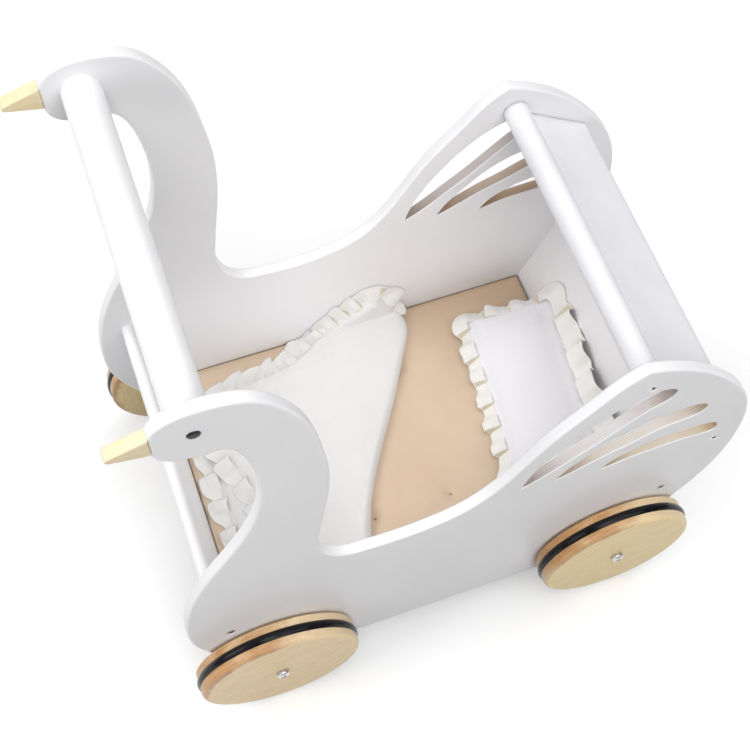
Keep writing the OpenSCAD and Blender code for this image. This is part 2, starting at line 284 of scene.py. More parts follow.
def make_jersey():
    p = Mat("beige_jersey", 0.88, Specular_IOR_Level=0.2, Sheen_Weight=0.3, Sheen_Roughness=0.5)
    n = p.noise(10.0, 4.0)
    cloth = p.ramp(n, [(0.3, (0.735, 0.565, 0.41)), (0.7, (0.80, 0.635, 0.475))])
    xyz = p.node("ShaderNodeSeparateXYZ")
    p.link(p.coord, xyz.inputs[0])
    # painted shade: browner along the far side, most of all by the tail wall, where the shadow falls
    far = p.math("ADD", p.math("MULTIPLY", xyz.outputs["Y"], 7.0), p.math("MULTIPLY", xyz.outputs["X"], 1.4))
    brown = p.ramp(far, [(0.6, (0, 0, 0)), (1.05, (0.5, 0.5, 0.5))])
    p.colour(p.mix(brown, cloth, (0.50, 0.33, 0.20)))
    slub = p.noise(330.0, 4.0, vector=p.mapped(scale=(0.4, 1.0, 1.0)))
    p.rough(slub, 0.8, 0.96)
    p.bump(slub, 0.2, 0.0002)
    weave(p, 0.0009, ("X", "Y"), 0.2, 0.00015)
    return p.m


AXLE_Z = 73.3
PAINT = make_paint()
BEAK = make_wood("pale_beak_wood", (0.88, 0.77, 0.53), (0.84, 0.71, 0.45), (0.70, 0.54, 0.29), ring=40.0).m
# painted shade: near-black metal for the deep faces of the screws' cross recesses
RECESS_PAINTED_SHADE = make_speckled("screw_recess_painted_shade", 700.0, (0.03, 0.03, 0.032), (0.09, 0.09, 0.095), (0.4, 0.6),
                       Metallic=0.6)
RUBBER = make_speckled("black_rubber", 160.0, (0.004, 0.004, 0.005), (0.010, 0.010, 0.012), (0.12, 0.24),
                       bump=(420.0, 2.0, 0.05, 0.0001), Specular_IOR_Level=0.2)
STEEL = make_speckled("zinc_steel", 700.0, (0.50, 0.50, 0.51), (0.68, 0.68, 0.70), (0.22, 0.42),
                      bump=(700.0, 3.0, 0.1, 0.00005), Metallic=1.0)
BRASS = make_speckled("brass_bush", 500.0, (0.60, 0.45, 0.20), (0.75, 0.58, 0.30), (0.28, 0.45), Metallic=1.0)
BLACK = make_speckled("black_cap", 300.0, (0.008, 0.008, 0.010), (0.016, 0.016, 0.019), (0.18, 0.32),
                      detail=2.0, Specular_IOR_Level=0.2)
COTTON = make_cotton()
MUSLIN = make_muslin("cream_muslin", (0.83, 0.815, 0.80), (0.87, 0.86, 0.86))
PILLOW = make_muslin("white_muslin_pillow", (0.865, 0.86, 0.885), (0.90, 0.895, 0.92))
RUFFLE = make_muslin("cream_muslin_ruffle", (0.87, 0.86, 0.83), (0.905, 0.90, 0.88))
# painted shade: a darker olive cream that stands in for the shadow in the hollows between pleats
PAINTED_CREASE_SHADE = make_muslin("cream_muslin_painted_crease_shade", (0.66, 0.61, 0.45), (0.78, 0.74, 0.60))
JERSEY = make_jersey()
THREAD = make_muslin("brown_tuft_thread", (0.42, 0.27, 0.16), (0.52, 0.35, 0.22))


# ---------------------------------------------------------------- mesh helpers
def edit_mesh(me, change):
    """Opens a mesh as a bmesh for change(bm) and writes it back."""
    bm = bmesh.new()
    bm.from_mesh(me)
    change(bm)
    bm.to_mesh(me)
    bm.free()


def obj_from(name, verts, faces, mats, index=None, sharp=None):
    me = bpy.data.meshes.new(name)
    me.from_pydata([tuple(v) for v in verts], [], faces)
    for mt in mats:
        me.materials.append(mt)
    if index:
        me.polygons.foreach_set("material_index", index)
    edit_mesh(me, lambda bm: bmesh.ops.recalc_face_normals(bm, faces=bm.faces))
    me.polygons.foreach_set("use_smooth", [True] * len(me.polygons))
    if sharp is not None:
        me.set_sharp_from_angle(angle=math.radians(sharp))
    me.update()
    ob = bpy.data.objects.new(name, me)
    scene.collection.objects.link(ob)
    return ob


def weighted(ob):
    w = ob.modifiers.new("even_faces", "WEIGHTED_NORMAL")
    w.keep_sharp = True
    w.weight = 80


def thicken(ob, mm):
    """Gives a sheet its thickness, half of it to each side."""
    sol = ob.modifiers.new("cloth_thickness", "SOLIDIFY")
    sol.thickness = mm * MM
    sol.offset = 0.0


def repaint(name, mat, sharp=32):
    me = nodes[name].data
    me.materials.clear()
    me.materials.append(mat)
    me.polygons.foreach_set("material_index", [0] * len(me.polygons))
    me.polygons.foreach_set("use_smooth", [True] * len(me.polygons))
    me.set_sharp_from_angle(angle=math.radians(sharp))
    me.update()


def place(ob, body, slot, *stands):
    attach(ob, body)
    if stands:
        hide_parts(*stands)
    return ob


# ---------------------------------------------------------------- side panels and beaks
SWAN = [
    (-218.5, 533, 90, 78), (-190.5, 550.3, 2, 2), (-142.5, 530, -54, -54), (-113.5, 441, -82, -82),
    (-122.5, 290, -96, -96), (-92.5, 237, -6, -6), (-20.5, 240, 14, 14), (55.5, 321, 58, 58),
    (99.5, 375, 52, 52), (129.5, 400.5, 30, -20), (200.5, 350, -49, -49), (246.5, 241, -88, -88),
    (204.5, 103, -126, -126), (106.5, 36, -180, -180), (-120.5, 36, -180, -180), (-216.5, 94, -244, -244),
    (-237.5, 164, -269, -269), (-195.5, 305, -301, -301), (-161.5, 449, -262, -262),
    (-185.5, 490.5, -160, -160), (-199, 493, -182, -182), (-218.5, 511, -270, -270)]
FEATHERS = [
    [(45.5, 255.5, 206, 78), (73.5, 312, 52, 52), (136.5, 360, 17, 17), (161.5, 348.5, -100, -100),
     (138.5, 329, -140, -140), (92.5, 289, -143, -143)],
    [(75.5, 249, 200, 68), (107.5, 287, 43, 43), (173.5, 312.5, 2, 2), (199, 300, -98, -98),
     (168.5, 288, -170, -170), (128.5, 272.5, -162, -162)],
    [(116.5, 240, 189, 60), (135.5, 257.5, 26, 26), (178.5, 266.5, 1, 1), (219.5, 251, -92, -92),
     (188.5, 247.5, -180, -180), (148.5, 246, -178, -178)]]


def loop_of(knots, n):
    out = []
    for i, a in enumerate(knots):
        b = knots[(i + 1) % len(knots)]
        p0, p3 = Vector(a[:2]), Vector(b[:2])
        reach = 0.37 * (p3 - p0).length
        p1 = p0 + reach * vec(math.cos(math.radians(a[3])), math.sin(math.radians(a[3])))
        p2 = p3 - reach * vec(math.cos(math.radians(b[2])), math.sin(math.radians(b[2])))
        for k in range(n):
            t = k / n
            s = 1 - t
            out.append(s**3 * p0 + 3 * s * s * t * p1 + 3 * s * t * t * p2 + t**3 * p3)
    return out


def area2(loop):
    return sum(a.x * b.y - b.x * a.y for a, b in zip(loop, loop[1:] + loop[:1]))


def inward(loop, d):
    """The loop moved d towards its own inside (out of it when d is below 0)."""
    sign = 1.0 if area2(loop) > 0 else -1.0
    out = []
    for i, p in enumerate(loop):
        e0 = (p - loop[i - 1]).normalized()
        e1 = (loop[(i + 1) % len(loop)] - p).normalized()
        n0, n1 = vec(-e0.y, e0.x) * sign, vec(-e1.y, e1.x) * sign
        n = n0 + n1
        if n.length < 1e-6:
            n = n0
        n.normalize()
        limit = 1.7 * abs(d)
        out.append(p + n * min(max(d / max(n.dot(n0), 0.45), -limit), limit))
    return out


def band(faces, idx, ra, rb, mat=0):
    """Joins two rings of vertex numbers with quads of one material."""
    for k in range(len(ra)):
        k2 = (k + 1) % len(ra)
        faces.append((ra[k], ra[k2], rb[k2], rb[k]))
        idx.append(mat)


def slab(name, outer, cuts, sinks, y0, y1, round_out, mats, round_cut=1.0):
    """A board between the planes y0 (outside) and y1 with rounded edges, in millimetres. cuts are through
    slots, each with its own material; sinks are countersinks in the y0 face, as x, z, the radii above and
    below, and the depth."""
    verts, faces, idx = [], [], []
    sgn = 1.0 if y1 > y0 else -1.0
    total = abs(y1 - y0)

    def ring(loop, depth):
        start = len(verts)
        verts.extend([vec(p.x, y0 + sgn * depth, p.y) * MM for p in loop])
        return list(range(start, start + len(loop)))

    def wall(loop, r, into, mid_mat):
        prof = []
        steps = 5
        for k in range(steps + 1):
            a = math.radians(90 * k / steps)
            prof.append((r * (1 - math.sin(a)), r * (1 - math.cos(a))))
        prof += [(i, total - d) for i, d in reversed(prof)]
        rings = [ring(inward(loop, i * into), d) for i, d in prof]
        for q, (ra, rb) in enumerate(zip(rings, rings[1:])):
            band(faces, idx, ra, rb, mid_mat if q == steps else 0)
        tops.append(rings[0])
        bottoms.append(rings[-1])

    tops, bottoms = [], []
    wall(outer, round_out, 1.0, 0)
    for k, c in enumerate(cuts):
        wall(c, round_cut, -1.0, 1 + k)
    seg = 32
    for x, z, r, r2, depth in sinks:
        c = vec(x, z)
        turns = [2 * math.pi * k / seg for k in range(seg)]
        circ = [c + vec(math.cos(t), math.sin(t)) for t in turns]
        l0 = ring([c + (p - c) * r for p in circ], 0)
        l1 = ring([c + (p - c) * (r - 0.15) for p in circ], 0.25)
        l2 = ring([c + (p - c) * r2 for p in circ], depth)
        tops.append(l0)
        band(faces, idx, l0, l1)
        band(faces, idx, l1, l2)
        faces.append(tuple(l2))
        idx.append(0)
    for group in (tops, bottoms):
        flat = [i for g in group for i in g]
        lines = [[verts[i] for i in g] for g in group]
        for tri in geometry.tessellate_polygon(lines):
            faces.append(tuple(flat[i] for i in tri))
            idx.append(0)
    ob = obj_from(name, verts, faces, mats, idx, sharp=38)
    weighted(ob)
    return ob


# places in the side view (x, z) and sizes of the frame, in mm
HANDLE = (-192.0, 523.5)
DOWEL, DOWEL_R = (137.5, 371.0), 9.0
RAIL, RAIL_R = (198.5, 321.0), 8.0
PANEL_OUT, PANEL_IN, PANEL_EDGE = 140.0, 130.0, 2.3
WALL_FOOT_Z, WALL_T = 78.0, 10.0
FOOT_X, FOOT_LEAN = -195.65, math.radians(-6.2)
TAIL_X, TAIL_LEAN, TAIL_H = 163.9, math.radians(21.9), 170.68


def on_wall(x0, lean, h):
    """A point of an end wall's middle line at the height h along the wall."""
    return x0 + h * math.sin(lean), WALL_FOOT_Z + h * math.cos(lean)


SCREWS = [on_wall(FOOT_X, FOOT_LEAN, h) for h in (21, 71)]
SCREWS += [on_wall(TAIL_X, TAIL_LEAN, h) for h in (73.5, 160)] + [DOWEL]
swan_loop = loop_of(SWAN, 16)
feather_loops = [loop_of(f, 14) for f in FEATHERS]
sinks = [(x, z, 4.35, 2.3, 2.7) for x, z in SCREWS] + [(HANDLE[0], HANDLE[1], 4.7, 4.6, 4.0)]
ENDS = [(f[0][:2], f[3 if k else 2][:2]) for k, f in enumerate(FEATHERS)]
# for the slot walls of each panel: paint, bare wood and how bare the middle is
PLIES = {
    "near": [((0.85, 0.82, 0.83), (0.46, 0.38, 0.34), 0.0), ((0.85, 0.80, 0.76), (0.50, 0.39, 0.28), 0.05),
             ((0.85, 0.77, 0.66), (0.52, 0.38, 0.23), 0.12)],
    "far": [((0.66, 0.60, 0.60), (0.42, 0.34, 0.28), 0.1), ((0.62, 0.52, 0.44), (0.42, 0.30, 0.20), 0.45),
            ((0.60, 0.47, 0.34), (0.40, 0.27, 0.16), 0.6)]}
for nm, s in (("near", -1), ("far", 1)):
    plies = []
    for k, (ends, look) in enumerate(zip(ENDS, PLIES[nm])):
        plies.append(make_ply("%s_slot_wall_%d" % (nm, k + 1), *ends, *look))
    board = slab(nm + "_panel_board", swan_loop, feather_loops, sinks, s * PANEL_OUT, s * PANEL_IN,
                 PANEL_EDGE, [PAINT] + plies)
    place(board, "chassis", "white_paint", nm + "_side_panel")

TIP, TIP_R = (-242.7, 521.5), 3.0
beak_loop = [vec(-218.5, 512.5), vec(-218.5, 532.5)]
for a in range(100, 266, 15):
    t = math.radians(a)
    beak_loop.append(vec(TIP[0] + TIP_R * math.cos(t), TIP[1] + TIP_R * math.sin(t)))
for nm, s in (("near", -1), ("far", 1)):
    ob = slab(nm + "_beak_wood", beak_loop, [], [], s * PANEL_OUT, s * PANEL_IN, 1.2, [BEAK])
    place(ob, "chassis", "beak_wood", nm + "_beak")

for n in ("handle_bar", "foot_wall", "tail_wall", "floor_board", "hood_dowel", "hood_rail"):
    repaint(n, PAINT)
for n in ("handle_screws", "wheel_screws", "wheel_washers"):
    repaint(n, STEEL)


HEAD_R = 4.0


def head_depth(r, a):
    """Depth under the panel's face of a slightly domed screw head with a cross recess."""
    u, v = abs(r * math.cos(a)), abs(r * math.sin(a))
    arm = 2.35 - max(u, v) if min(u, v) < 0.62 else 0.0
    return 0.25 - 0.2 * (1 - (r / HEAD_R) ** 2) + min(max(arm, 0.0) * 1.4, 1.5)


def sunk_screws(name, points, slot_name, node, seed):
    """Countersunk steel screws in both side panels, with a cross recess in each head whose deep faces are
    painted shade in near-black.
    """
    rnd = random.Random(seed)
    verts, faces, idx = [], [], []
    seg, rows = 48, 16
    head = [(HEAD_R * i / rows, None) for i in range(rows + 1)]
    shank = [(3.95, 0.45), (2.05, 2.35), (2.0, 2.6), (2.0, 33.6), (1.2, 34.0)]
    for side in (-1, 1):
        for cx, cz in points:
            turn = rnd.uniform(0, math.pi / 2)
            rings = []
            for r, deep in head + shank:
                ring = []
                for k in range(1 if r == 0 else seg):
                    a = 2 * math.pi * k / seg
                    d = head_depth(r, a - turn) if deep is None else deep
                    ring.append(len(verts))
                    verts.append(vec(cx + r * math.cos(a), side * (PANEL_OUT - d), cz + r * math.sin(a)) * MM)
                rings.append(ring)
            for q, (ra, rb) in enumerate(zip(rings, rings[1:])):
                for k in range(seg):
                    k2 = (k + 1) % seg
                    f = (ra[0], rb[k2], rb[k]) if len(ra) == 1 else (ra[k], ra[k2], rb[k2], rb[k])
                    faces.append(f)
                    low = min(abs(verts[i].y) for i in f) / MM
                    # painted shade: head faces deeper than 0.55 mm get the near-black recess material
                    idx.append(1 if q < rows and low < PANEL_OUT - 0.55 else 0)
            faces.append(tuple(rings[-1]))
            idx.append(0)
    ob = obj_from(name, verts, faces, [STEEL, RECESS_PAINTED_SHADE], idx, sharp=30)
    place(ob, "chassis", slot_name, node)


sunk_screws("wall_screw_set", SCREWS[:4], "steel", "wall_screws", 3)
sunk_screws("hood_screw_set", SCREWS[4:], "steel", "hood_screws", 8)
repaint("wheel_bushes", BRASS)
repaint("eye_caps", BLACK)


# ---------------------------------------------------------------- wheels
WHEEL_R, WHEEL_T, WHEEL_Y, WHEEL_EDGE = 71.5, 22.3, 142.6, 4.0
RING_R, RING_SEAT = 4.75, 10.7
RING_C = AXLE_Z - RING_R


def lathe(name, cx, side, prof, mat, sharp=40):
    """Turns a closed profile (radius, distance from the wheel's inner face) round the axle at cx."""
    verts, faces = [], []
    seg = 144
    for k in range(seg):
        a = 2 * math.pi * k / seg
        for r, u in prof:
            verts.append(vec(cx + r * math.cos(a), side * (WHEEL_Y + u), AXLE_Z + r * math.sin(a)) * MM)
    n = len(prof)
    for k in range(seg):
        k2 = (k + 1) % seg
        for j in range(n):
            j2 = (j + 1) % n
            faces.append((k * n + j, k * n + j2, k2 * n + j2, k2 * n + j))
    return obj_from(name, verts, faces, [mat], sharp=sharp)


def wheel_profile():
    """Half section of the disc: radius and distance from its inner face, in mm."""
    p = [(3.3, WHEEL_T - 0.1), (3.6, WHEEL_T)]
    p += [(r, WHEEL_T) for r in (12, 30, 50, 62, 67)]
    for a in range(90, -1, -15):
        p.append((WHEEL_R - WHEEL_EDGE + WHEEL_EDGE * math.cos(math.radians(a)),
                  WHEEL_T - WHEEL_EDGE + WHEEL_EDGE * math.sin(math.radians(a))))
    groove = RING_R + 0.05
    open_a = math.degrees(math.acos((WHEEL_R - RING_C) / groove))
    for k in range(13):
        a = math.radians(open_a + k * (360 - 2 * open_a) / 12)
        p.append((RING_C + groove * math.cos(a), RING_SEAT + groove * math.sin(a)))
    p += [(WHEEL_R, 1.0), (WHEEL_R - 1.0, 0.0), (40, 0.0), (3.3, 0.0)]
    return p


# light, mid and dark wood, and how cloudy it is
BEECH = ((0.98, 0.765, 0.445), (0.94, 0.70, 0.38), (0.64, 0.44, 0.24), 0.35)
YELLOW = ((0.98, 0.79, 0.42), (0.92, 0.70, 0.34), (0.66, 0.46, 0.21), 0.7)
# name, axle x, side, turn and place of the grain, wood
WHEELS = [("front_near", -171.2, -1, 0.52, 0.0, BEECH), ("front_far", -171.2, 1, 1.2, 4.0, YELLOW),
          ("rear_near", 150.1, -1, 0.35, 9.0, YELLOW), ("rear_far", 150.1, 1, 2.0, 13.0, BEECH)]
prof = wheel_profile()
torus = []
for k in range(32):
    a = 2 * math.pi * k / 32
    torus.append((RING_C + RING_R * math.cos(a), RING_SEAT + RING_R * math.sin(a)))
for nm, cx, s, turn, shift, tint in WHEELS:
    face = make_wheel_wood(nm + "_wheel_wood", turn, shift, cx, *tint)
    w = lathe(nm + "_wooden_wheel", cx, s, prof, face)
    weighted(w)
    place(w, nm + "_wheel_set", "wheel_wood", nm + "_wheel")
    t = lathe(nm + "_rubber_ring", cx, s, torus, RUBBER, sharp=None)
    place(t, nm + "_wheel_set", "black_rubber", nm + "_tyre")


# ---------------------------------------------------------------- hood cloth
CLOTH_OFF = 0.35 + 0.6  # gap under the cloth and half its thickness, from a surface to its middle
HOOD_HALF = 129.2


def hood_line():
    """The cloth's middle line from the side: (x, z, looseness), and how many points the pocket has."""
    line = []

    def arc(centre, r, a0, a1, steps, first=1):
        for k in range(first, steps + 1):
            a = a0 + (a1 - a0) * k / steps
            line.append((centre[0] + r * math.cos(a), centre[1] + r * math.sin(a), 0.0))

    def straight(b, steps, slack, a=None, first=1):
        if a is None:
            a = vec(*line[-1][:2])
        for k in range(first, steps + 1):
            p = a.lerp(b, k / steps)
            line.append((p.x, p.y, slack * math.sin(math.pi * k / steps)))

    over, wrap = RAIL_R + CLOTH_OFF, WALL_T / 2 + CLOTH_OFF
    arc(DOWEL, DOWEL_R + CLOTH_OFF, math.radians(-62), math.radians(-367), 28, first=0)
    pocket = len(line)
    meet = math.radians(58)
    touch = vec(RAIL[0] + over * math.cos(meet), RAIL[1] + over * math.sin(meet))
    straight(touch, 15, 1.0, a=vec(DOWEL[0] + 8.4, DOWEL[1] - 6.2), first=0)
    top = vec(*on_wall(TAIL_X, TAIL_LEAN, TAIL_H))
    away = top - vec(*RAIL)
    leave = math.atan2(away.x, -away.y) - math.asin((over - wrap) / away.length)
    arc(RAIL, over, meet, leave, 6)
    straight(top + wrap * vec(math.cos(leave), math.sin(leave)), 18, 0.7)
    arc(top, wrap, leave, -TAIL_LEAN, 6)
    low = vec(*on_wall(TAIL_X, TAIL_LEAN, TAIL_H - 18.98))
    straight(low + wrap * vec(math.cos(TAIL_LEAN), -math.sin(TAIL_LEAN)), 5, 0.0)
    return line, pocket


def hood():
    line, pocket = hood_line()
    cols = 96
    verts, faces = [], []
    for i, (x, z, loose) in enumerate(line):
        x0, z0, _ = line[max(i - 1, 0)]
        x1, z1, _ = line[min(i + 1, len(line) - 1)]
        t = vec(x1 - x0, z1 - z0).normalized()
        n = vec(-t.y, t.x)
        if i < pocket:
            n = vec(x - DOWEL[0], z - DOWEL[1]).normalized()
        for j in range(cols + 1):
            y = -HOOD_HALF + 2 * HOOD_HALF * j / cols
            v = abs(y) / HOOD_HALF
            sag = -1.3 * loose * (1 - v**2)
            rip = 0.35 * noise.noise(vec(i * 0.17, y * 0.035, 3.1))
            rip += 0.22 * noise.noise(vec(i * 0.05, y * 0.12, 8.0))
            d = sag + rip * (0.35 if i < pocket else 1.0) * (0.3 + 0.7 * loose if i >= pocket else 1.0)
            if i >= pocket and loose == 0.0:
                d = max(d, 0.0) * 0.5
            if i < pocket:
                d = abs(d)
            edge = 0.5 * noise.noise(vec(i * 0.3, 5.0 if y > 0 else 9.0, 1.0)) if v > 0.97 else 0.0
            verts.append(vec(x + n.x * d, y + edge, z + n.y * d) * MM)
    w = cols + 1
    for i in range(len(line) - 1):
        for j in range(cols):
            faces.append((i * w + j, i * w + j + 1, (i + 1) * w + j + 1, (i + 1) * w + j))
    ob = obj_from("hood_cloth_sheet", verts, faces, [COTTON])
    thicken(ob, 1.1)
    length = sum(math.hypot(b[0] - a[0], b[1] - a[1]) for a, b in zip(line, line[1:])) * MM
    place(ob, "chassis", "white_cotton", "hood_cloth")


hood()


# ---------------------------------------------------------------- mattress
TUFTS = [(x, y) for x in (-123.8, -51.2, 21.4, 94.0) for y in (-68.0, 68.0)]
PAD_LOW, PAD_TOP, PAD_HALF = 84.6, 106.9, 129.6


def tuft_dip(x, y):
    """How far the tufts pull the mattress down at a place: a narrow pit in a wide hollow."""
    dip = 0.0
    for tx, ty in TUFTS:
        q = math.hypot(x - tx, y - ty)
        dip += 3.4 * math.exp(-(q / 4.2) ** 2) + 1.6 * math.exp(-(q / 19.0) ** 2)
    return dip


def mattress_top(x, y):
    """A height just clear of the mattress."""
    return PAD_TOP - tuft_dip(x, y) + 0.5


def pad_shape(x, y, d):
    """Change of height of the mattress top, at the distance d from its edge."""
    z = -0.9 * (1 - min(d / 40.0, 1.0)) ** 2 - tuft_dip(x, y)
    for tx, ty in TUFTS:
        q = math.hypot(x - tx, y - ty)
        z += 0.25 * math.exp(-((q - 11) / 8.0) ** 2) * math.sin(7 * math.atan2(y - ty, x - tx) + tx)
    z += 0.45 * noise.noise(vec(x * 0.022, y * 0.03, 2.0))
    return z + 0.18 * noise.noise(vec(x * 0.08, y * 0.07, 5.0))


def mattress():
    nx, ny, nz = size = (118, 86, 7)
    edge_r = 3.2
    verts, faces, idx = [], [], {}

    def surf(i, j, k):
        """A point of the pad's surface; both ends lean with the walls."""
        u, w = i / nx, k / nz
        left_x, right_x = -189.6 - 3.0 * w, 158.2 + (167.8 - 158.2) * w
        x = left_x + (right_x - left_x) * u
        y = PAD_HALF * (2 * j / ny - 1)
        z = PAD_LOW + (PAD_TOP - PAD_LOW) * w
        d = min(x - left_x, right_x - x, PAD_HALF - abs(y))
        if k in (0, nz):
            drop = edge_r - math.sqrt(max(edge_r**2 - (edge_r - min(d, edge_r)) ** 2, 0.0))
            z += 0.5 * drop if k == 0 else pad_shape(x, y, d) - drop
        elif i in (0, nx):
            x += math.copysign(0.6 * math.sin(math.pi * w), u - 0.5)
        return vec(x, y, z) * MM

    for i in range(nx + 1):
        for j in range(ny + 1):
            for k in range(nz + 1):
                if i in (0, nx) or j in (0, ny) or k in (0, nz):
                    idx[i, j, k] = len(verts)
                    verts.append(surf(i, j, k))
    for fixed in range(3):
        p, q = [axis for axis in range(3) if axis != fixed]
        for end in (0, size[fixed]):
            for s in range(size[p]):
                for t in range(size[q]):
                    corners = []
                    for ds, dt in ((0, 0), (1, 0), (1, 1), (0, 1)):
                        key = {fixed: end, p: s + ds, q: t + dt}
                        corners.append(idx[key[0], key[1], key[2]])
                    faces.append(corners)
    ob = obj_from("mattress_pad", verts, faces, [JERSEY])
    place(ob, "chassis", "mattress_cover", "mattress")


mattress()


def tuft_knots():
    """The thread knot at the bottom of each tuft."""
    verts, faces = [], []
    rows, seg = 6, 12
    for tx, ty in TUFTS:
        start = len(verts)
        for i in range(rows + 1):
            lat = math.pi * i / rows
            for k in range(seg):
                a = 2 * math.pi * k / seg
                r = 1.25 * math.sin(lat) * (1 + 0.18 * math.sin(3 * a + tx))
                spot = vec(tx + r * math.cos(a) * 1.3, ty + r * math.sin(a), 102.6 + 0.9 * math.cos(lat))
                verts.append(spot * MM)
        for i in range(rows):
            for k in range(seg):
                a, b = start + i * seg + k, start + i * seg + (k + 1) % seg
                faces.append((a, b, b + seg, a + seg))
    ob = obj_from("mattress_tuft_knots", verts, faces, [THREAD])
    edit_mesh(ob.data, lambda bm: bmesh.ops.remove_doubles(bm, verts=bm.verts, dist=1e-6))
    place(ob, "chassis", "mattress_cover")


tuft_knots()


# ---------------------------------------------------------------- pillow and blanket
def lerp_table(tab, q):
    """A smooth curve through (q, value) rows."""
    if q <= tab[0][0]:
        return tab[0][1]
    if q >= tab[-1][0]:
        return tab[-1][1]
    k = max(i for i in range(len(tab) - 1) if tab[i][0] <= q)
    (a, va), (b, vb) = tab[k], tab[k + 1]

    def slope(i):
        (qa, fa), (qb, fb) = tab[max(i - 1, 0)], tab[min(i + 1, len(tab) - 1)]
        return (fb - fa) / (qb - qa)

    h = b - a
    t = (q - a) / h
    m0, m1 = slope(k) * h, slope(k + 1) * h
    return ((2 * t**3 - 3 * t * t + 1) * va + (t**3 - 2 * t * t + t) * m0
            + (3 * t * t - 2 * t**3) * vb + (t**3 - t * t) * m1)


def puff(ob, pressure, cap, frames, shrink, stiff, pins=None):
    """Inflates a closed mesh with a cloth simulation and applies it. No point moves further than cap (m)."""
    rest = [v.co.copy() for v in ob.data.vertices]
    cl = ob.modifiers.new("Cloth", "CLOTH")
    st = cl.settings
    st.quality = 6
    st.mass = 0.15
    st.tension_stiffness = stiff
    st.compression_stiffness = stiff
    st.shear_stiffness = stiff * 0.4
    st.bending_stiffness = 0.15
    st.tension_damping = 10.0
    st.air_damping = 3.0
    st.use_pressure = True
    st.uniform_pressure_force = pressure
    st.shrink_min = shrink
    st.effector_weights.gravity = 0.0
    cl.collision_settings.use_collision = False
    cl.collision_settings.use_self_collision = False
    if pins:
        st.vertex_group_mass = pins
    cl.point_cache.frame_start = 1
    cl.point_cache.frame_end = frames
    for f in range(1, frames + 1):
        scene.frame_set(f)
    dg = bpy.context.evaluated_depsgraph_get()
    ev = ob.evaluated_get(dg).to_mesh()
    co = [v.co.copy() for v in ev.vertices]
    ob.evaluated_get(dg).to_mesh_clear()
    ob.modifiers.remove(cl)
    scene.frame_set(1)
    for v, r, c in zip(ob.data.vertices, rest, co):
        d = c - r
        if d.length > cap:
            d = d.normalized() * cap
        v.co = r + d
    ob.data.update()


# middle, turn and seam size of the pillow
PIL_C = vec(127.8, -3.0, 126.2)
PIL_ROT = Matrix.Rotation(math.radians(-6), 3, "Z") @ Matrix.Rotation(math.radians(-9), 3, "Y")
PIL_W, PIL_L = 86.0, 176.0


def clear_pillow(p):
    """Keeps a point (mm) of the pillow off the mattress, the tail wall and the sides."""
    z = max(p.z, mattress_top(p.x, p.y))
    inner_x = TAIL_X + (z - WALL_FOOT_Z) * math.tan(TAIL_LEAN) - WALL_T / 2 / math.cos(TAIL_LEAN)
    return vec(min(p.x, inner_x - 0.8), max(min(p.y, 128.0), -128.0), z)


def seam_point(u, v):
    """Edge of the pillow in its own plane; u, v run from -1 to 1 over a slightly waisted rectangle."""
    x = u * PIL_W / 2
    y = v * PIL_L / 2
    x *= 1 - 0.045 * (1 - v * v)
    y *= 1 - 0.02 * (1 - u * u)
    return x, y


def cushion(name, n_out, n_in, point, mat):
    """A closed shell over a grid of n_out by n_in cells. point(i, j, rim) gives its upper and lower points
    (mm), and the two sides share the upper ones along the rim. Also returns the rim's vertex numbers."""
    verts, faces, rims = [], [], []
    top, bot = {}, {}
    for i in range(n_out + 1):
        for j in range(n_in + 1):
            rim = i in (0, n_out) or j in (0, n_in)
            upper, lower = point(i, j, rim)
            top[i, j] = bot[i, j] = len(verts)
            verts.append(upper * MM)
            if rim:
                rims.append(top[i, j])
            else:
                bot[i, j] = len(verts)
                verts.append(lower * MM)
    for i in range(n_out):
        for j in range(n_in):
            faces.append((top[i, j], top[i + 1, j], top[i + 1, j + 1], top[i, j + 1]))
            faces.append((bot[i, j], bot[i, j + 1], bot[i + 1, j + 1], bot[i + 1, j]))
    return obj_from(name, verts, faces, [mat]), rims


def rounded(ob):
    sub = ob.modifiers.new("round", "SUBSURF")
    sub.levels = sub.render_levels = 1


